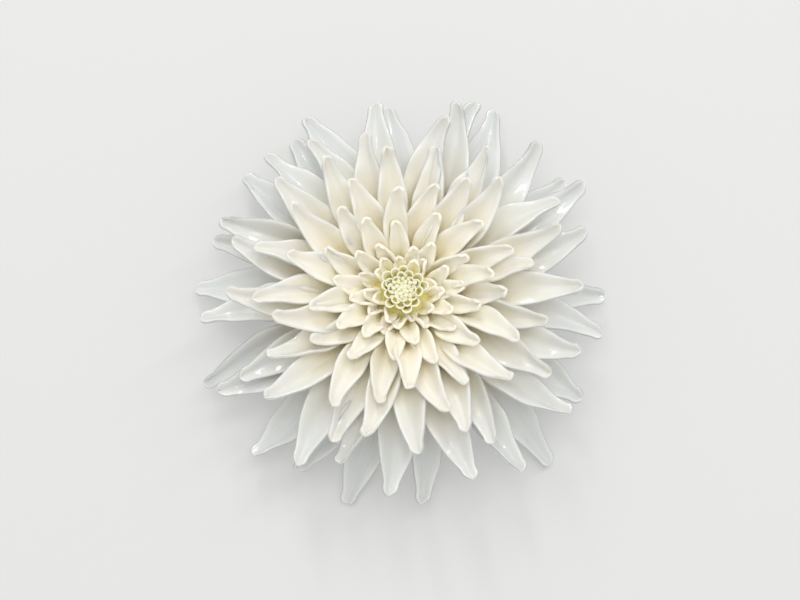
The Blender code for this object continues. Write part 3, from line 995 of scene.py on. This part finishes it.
def hood(order, draw, own):
    """A small curled spoon round the buds."""
    share = (order + 0.5) / HOOD_COUNT
    launch = math.radians(mix(*HOOD_LAUNCH, share) + scatter(draw, HOOD_SCATTER["launch"]))
    blade = {"launch": launch, "rank": share, **HOOD_SHAPE, **STRAIGHT}
    turn = scatter(draw, HOOD_SCATTER["azimuth"])
    blade["azimuth"] = (BUD_COUNT + order) * GOLDEN_ANGLE + math.radians(turn)
    blade["root_radius"] = HEART_RADIUS * mix(*HOOD_SPREAD, share)
    blade["root_height"] = HEART_BASE + HOOD_FOOT
    steer(blade, launch - math.radians(mix(*HOOD_BOW, share)))
    curl_tip(blade, draw.uniform(*HOOD_TIP_CURL))
    blade["length"] = mix(*HOOD_LENGTH, share) + scatter(draw, HOOD_SCATTER["length"])
    blade["half_width"] = mix(*HOOD_HALF_WIDTH, share) * (1 + scatter(draw, HOOD_SCATTER["width"]))
    blade["cup"] = draw.uniform(*HOOD_CUP)
    blade["phase"] = own.uniform(0, 2 * math.pi)
    blade["lot"] = own.random()
    return blade


florets = [hood(order, draw, own) for order in range(HOOD_COUNT)]
hoods = grow("heart_hoods", florets, small_blank, heart_glaze, Rim_Bead=0.15, Ruffle=0.1, Tube=1.0)

# %% The cushion under the florets
CUSHION_PROFILE = (
    (1.0, 0.0), (1.0, 0.0012), (0.93, 0.0022), (0.8, 0.003), (0.6, 0.0034), (0.4, 0.0036), (0.15, 0.0037)
)
CUSHION_SIDES = 32
profile = [(HEART_RADIUS * SKIN_SHARE * radius, HEART_BASE + height) for radius, height in CUSHION_PROFILE]
cushion = turned("heart_cushion", profile, CUSHION_SIDES)
cushion.data.materials.append(flesh_finish())
for piece in (buds, hoods, cushion):
    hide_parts("disc_florets")
    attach(piece, "root")
print("heart:", len(places), "buds and", len(florets), "hoods")

# %% [markdown]
# ## The involucre
#
# Under the bloom, three rows of green bracts overlap like roof tiles. Each has a papery pale edge and a
# darker midrib. They are blades as well: short, flat and pressed up against the next row.

# %% The bracts' finish
GREENS = rgb(0.13, 0.20, 0.06), rgb(0.20, 0.26, 0.08)
GREEN_AT_TIP = rgb(0.30, 0.34, 0.15)
VEIN_COLOUR = rgb(0.34, 0.40, 0.18)
MIDRIB_COLOUR = rgb(0.10, 0.15, 0.04)
PAPERY_EDGE = rgb(0.62, 0.58, 0.38)


def bract_finish():
    made, tree, shader = surface(
        "bract_skin", Subsurface_Weight=0.08, Subsurface_Scale=0.002, Specular_IOR_Level=0.4
    )
    along, across, lot = attribute(tree, "along"), attribute(tree, "across"), attribute(tree, "lot")
    veins = streaks(across, along, lot, 26.0, 4.0)
    green = blend(fade(along, 0.3, 1.0), blend(lot, *GREENS), GREEN_AT_TIP)
    green = blend(fade(veins, 0.4, 0.7) * 0.5, green, VEIN_COLOUR)
    green = blend(fade(abs(across), 0.22, 0.0) * 0.6, green, MIDRIB_COLOUR)
    green = blend(fade(abs(across), 0.72, 1.0) * 0.85, green, PAPERY_EDGE)
    feed(shader, Base_Color=green, Roughness=fade(veins, 0.3, 0.7, 0.42, 0.62))
    bumped(shader, veins, 0.00012)
    return told(made)


bract_skin = bract_finish()

# %% The plan of the bracts
BRACT_SEED = 5
BRACT_LOOKS_SEED = 31
BRACTS_IN_ROW = 8
CUP_FOOT_RADIUS = 0.0036
CUP_RADIUS = 0.0128
CUP_FLARE = 0.75
BRACT_FOOT = (0.06, 0.26, 0.52)
BRACT_ROOT_DEPTH = 0.001
BRACT_LAUNCH = (20, 30, 38)
BRACT_END = (16, 10, 4)
BRACT_TIP_CURL = (-14, 4)
BRACT_LENGTH = (0.0066, 0.0078, 0.0084)
BRACT_HALF_WIDTH = (0.0021, 0.0027, 0.003)
BRACT_SCATTER = {"azimuth": 4, "length": 0.0004}
BRACT_SHAPE = {
    "claw": 0.0015, "cup": 0.25, "keel": 0.8, "ogee": 0.2, "hood": 0.0, "taper": 0.74, "round_from": 0.95,
    "thickness": 0.0006,
}


def cup_radius(share):
    """Radius of the green cup at a share of its height: it flares from the stem and then steepens."""
    return mix(CUP_FOOT_RADIUS, CUP_RADIUS, mix(share, math.sqrt(share), CUP_FLARE))


def bract(row, place, draw, own):
    """One bract: the rows stand higher and reach further as they near the petals."""
    foot = BRACT_FOOT[row]
    blade = {"launch": math.radians(BRACT_LAUNCH[row]), **BRACT_SHAPE, **STRAIGHT}
    turn = scatter(draw, BRACT_SCATTER["azimuth"])
    blade["azimuth"] = 2 * math.pi * (place + row / len(BRACT_FOOT)) / BRACTS_IN_ROW + math.radians(turn)
    blade["root_radius"] = cup_radius(foot) - BRACT_ROOT_DEPTH
    blade["root_height"] = CUP_BASE + foot * CUP_HEIGHT
    steer(blade, math.radians(BRACT_END[row]))
    curl_tip(blade, draw.uniform(*BRACT_TIP_CURL))
    blade["length"] = BRACT_LENGTH[row] + scatter(draw, BRACT_SCATTER["length"])
    blade["half_width"] = BRACT_HALF_WIDTH[row]
    blade["phase"] = own.uniform(0, 2 * math.pi)
    blade["lot"] = own.random()
    blade["rank"] = row / 2
    return blade


draw, own = random.Random(BRACT_SEED), random.Random(BRACT_LOOKS_SEED)
bracts = [bract(row, place, draw, own) for row in range(len(BRACT_FOOT)) for place in range(BRACTS_IN_ROW)]
print("bracts:", len(bracts))

# %% Grow the bracts on their cup
CUP_STEPS = 10
CUP_SIDES = 36
scales = grow("bracts", bracts, small_blank, bract_skin, Groove_Depth=0.00004, Ruffle=0.08)
shares = [i / CUP_STEPS for i in range(CUP_STEPS + 1)]
profile = [(cup_radius(share) * SKIN_SHARE, CUP_BASE + CUP_HEIGHT * share) for share in shares]
cup = turned("bract_cup", profile, CUP_SIDES)
for name in ("along", "across", "lot"):
    cup.data.attributes.new(name, "FLOAT", "POINT")
cup.data.materials.append(bract_skin)
for piece in (scales, cup):
    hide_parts("involucre")
    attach(piece, "root")
print("cup faces:", len(cup.data.polygons))

# %% [markdown]
# ## The cut stem
#
# The stub on which the bloom stands is ribbed like the stalk it was cut from. Its cut face is dished a
# little and shows the ring of woody bundles round pale pith, which is worth making although it faces the
# table.

# %% The stem's finish
STEM_RADIUS = 0.0032
BUNDLE_RING = 0.0021
BUNDLE_COUNT = 18
SKIN_GREENS = rgb(0.12, 0.19, 0.05), rgb(0.26, 0.33, 0.11)
PITH_COLOUR = rgb(0.66, 0.66, 0.44)
BUNDLE_COLOUR = rgb(0.34, 0.38, 0.16)


def stalk_finish():
    made, tree, shader = surface("stalk_skin", Subsurface_Weight=0.05, Subsurface_Scale=0.002)
    place = Signal.add(tree, "ShaderNodeTexCoord", out="Object")
    sockets = {"Vector": place, "Location": (-AXIS.x, -AXIS.y, 0.0)}
    centred = Signal.add(tree, "ShaderNodeMapping", sockets=sockets)
    parts = Signal.add(tree, "ShaderNodeSeparateXYZ", sockets={0: centred})
    x, y, height = parts.output("X"), parts.output("Y"), parts.output("Z")
    radius, turn = (x * x + y * y).sqrt(), y.math("ARCTAN2", x)
    wrapped = {0: turn.sin() * 12.0, 1: turn.cos() * 12.0, 2: height * 500.0}
    wrapped = Signal.add(tree, "ShaderNodeCombineXYZ", sockets=wrapped)
    fibres = noise(wrapped, 1.0, 3.0)
    ring = fade(abs(radius - BUNDLE_RING), 0.0005, 0.0001) * fade((turn * BUNDLE_COUNT).sin(), -0.2, 0.6)
    pith = blend(ring * 0.8, PITH_COLOUR, BUNDLE_COLOUR)
    cut_face = fade(height, 0.0004, 0.0001) * fade(radius, 0.0031, 0.0029)
    feed(shader, Base_Color=blend(cut_face, blend(fibres, *SKIN_GREENS), pith))
    feed(shader, Roughness=fade(fibres, 0.3, 0.7, 0.42, 0.65))
    bumped(shader, fibres, 0.00015)
    return told(made)


# %% Turn the stub
STUB_SIDES = 60
RIB_COUNT = 6
RIB_DEPTH = 0.05
SIDE_STEPS = 5
CUT_END = [(0.0006, 0.00016), (0.0018, 0.00008), (0.0027, 0.0), (0.00305, 0.0), (STEM_RADIUS, 0.00025)]


def ribs(angle, height):
    """Soft ribs down the stalk, the same at every height."""
    return 1 + RIB_DEPTH * math.cos(RIB_COUNT * angle)


shares = [i / SIDE_STEPS for i in range(SIDE_STEPS + 1)]
side = [(STEM_RADIUS, mix(0.0012, STEM_TOP - 0.0003, share)) for share in shares]
profile = CUT_END + side + [(0.0031, STEM_TOP), (0.0012, STEM_TOP)]
stub = turned("stem_stub", profile, STUB_SIDES, ribs)
stub.data.materials.append(stalk_finish())
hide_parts("stem")
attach(stub, "root")
print("stub faces:", len(stub.data.polygons))

# %% [markdown]
# ## Clearing the bench
#
# The blanks have done their work. Left in the scene they would be rendered with the flower, because a
# node tree only borrows their meshes and doesn't hide them.

# %% Remove the blanks
for spare in (broad_blank, small_blank, bud_blank):
    bpy.data.objects.remove(spare)

# %% [markdown]
# ## Table, light and camera
#
# The flower is seen almost from above, against a plain pale table. The table glows a little by itself, a
# painted glow that keeps the shadow under the petals faint. A broad soft light from above shapes the
# petals and isn't mirrored in them. Two narrow ones, behind the bloom and at its right, draw the crisp
# highlights on the glossy tips, and a pale room fills the shadows.

# %% The table
bpy.ops.mesh.primitive_plane_add(size=6.0)
table = bpy.context.object
table.name = "table"
TABLE_GREYS = rgb(0.575, 0.575, 0.575), rgb(0.585, 0.585, 0.585)
# Painted glow: the emission lightens the table, so that the flower's shadow on it stays faint.
glowing_finish, tree, shader = surface(
    "self_lit_table", Roughness=0.9, Emission_Color=rgb(1.0, 1.0, 1.0), Emission_Strength=0.19
)
feed(shader, Base_Color=blend(speckled(tree, 3.0, 2.0), *TABLE_GREYS))
table.data.materials.append(told(glowing_finish))

# %% The light
LIT_HEIGHT = 0.02
ROOM_STRENGTH = 0.66


def soft_light(name, place, size, power, colour, mirrored):
    """A rectangular lamp that faces the bloom."""
    lamp = bpy.data.lights.new(name, "AREA")
    lamp.shape = "RECTANGLE"
    lamp.size, lamp.size_y = size
    lamp.energy, lamp.color = power, colour
    holder = bpy.data.objects.new(name, lamp)
    holder.location = place
    holder.rotation_euler = (Vector(place) - Vector((0, 0, LIT_HEIGHT))).to_track_quat("Z", "Y").to_euler()
    holder.visible_glossy = mirrored
    bpy.context.scene.collection.objects.link(holder)
    print("light", name, "of", power, "W")


soft_light("window", (-0.15, 0.75, 0.8), (0.1, 0.6), 2.4, (1.0, 0.99, 0.97), mirrored=True)
soft_light("skylight", (0.0, 0.1, 1.3), (0.6, 0.6), 4.0, (1.0, 0.99, 0.97), mirrored=False)
soft_light("strip", (0.5, 0.35, 0.9), (0.05, 0.7), 1.1, (1.0, 1.0, 1.0), mirrored=True)
world = bpy.data.worlds.new("pale_room")
world.use_nodes = True
world.node_tree.nodes["Background"].inputs["Color"].default_value = rgb(1.0, 1.0, 1.0)
world.node_tree.nodes["Background"].inputs["Strength"].default_value = ROOM_STRENGTH
bpy.context.scene.world = world
bpy.context.scene.view_settings.view_transform = "Standard"

# %% The camera
AIM = Vector((0.0, 0.0, 0.012))
ELEVATION = math.radians(80)
DISTANCE = 0.652
FOCAL_LENGTH = 100.0
SENSOR_WIDTH = 36.0
lens = bpy.data.cameras.new("eye")
lens.lens, lens.sensor_width = FOCAL_LENGTH, SENSOR_WIDTH
eye = bpy.data.objects.new("eye", lens)
bpy.context.scene.collection.objects.link(eye)
back = Vector((0.0, -math.cos(ELEVATION), math.sin(ELEVATION)))
eye.location = AIM + back * DISTANCE
eye.rotation_euler = (-back).to_track_quat("-Z", "Y").to_euler()
bpy.context.scene.camera = eye
print("camera at", [round(value, 3) for value in eye.location])
